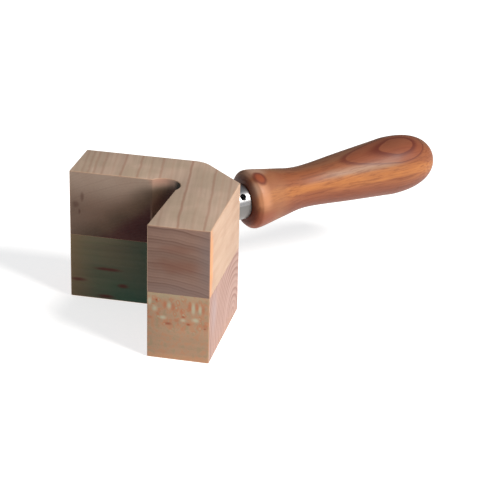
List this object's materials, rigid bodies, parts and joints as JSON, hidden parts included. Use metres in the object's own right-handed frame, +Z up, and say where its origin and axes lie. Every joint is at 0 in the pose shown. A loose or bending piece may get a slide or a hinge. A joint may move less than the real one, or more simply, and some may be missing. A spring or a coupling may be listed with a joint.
{
  "type": "nutcracker",
  "caption": "Wooden nutcracker: an L-shaped laminated head whose notch closes over a walnut, with a turned handle screwed to the chamfered outer corner behind a steel collar.",
  "frame": {"origin": "on the base, at the centre of the square where the two arms of the head cross", "axes": "+Z up from the base; one arm runs towards -X, the other towards -Y, and the handle lies along the diagonal between +X and +Y, rising 1.2 degrees away from the head"},
  "size_m": [0.1586, 0.1586, 0.064],
  "materials": {
    "upper_board_wood": "planed, unfinished",
    "lower_board_wood": "planed, unfinished, flecked",
    "dowel_wood": "fluted beech",
    "handle_wood": "oiled and waxed",
    "polished_steel": "polished",
    "thread_steel": "zinc plated",
    "black_steel": "black oxide",
    "insert_brass": "machined"
  },
  "bodies": {
    "head": {"upper_board": "upper_board_wood", "lower_board": "lower_board_wood", "left_arm_dowel": "dowel_wood", "right_arm_dowel": "dowel_wood", "threaded_insert": "insert_brass"},
    "washer": {"seat_washer": "thread_steel"},
    "grip": {"handle": "handle_wood", "stud": "thread_steel", "collar": "polished_steel", "grub_screw": "black_steel"}
  },
  "joints": [
    {"name": "handle_draw", "type": "slide", "parent": "head", "child": "washer", "axis": [0.707, 0.707, 0.0209], "range_m": [0, 0.01]},
    {"name": "handle_turn", "type": "hinge", "parent": "washer", "child": "grip", "pos_m": [0.00325, 0.00325, 0.047], "axis": [0.707, 0.707, 0.0209], "range_deg": [0, 2880]}
  ],
  "couplings": [
    {"joint": "handle_turn", "follows": "handle_draw", "rad_per_m": 5026.5}
  ]
}
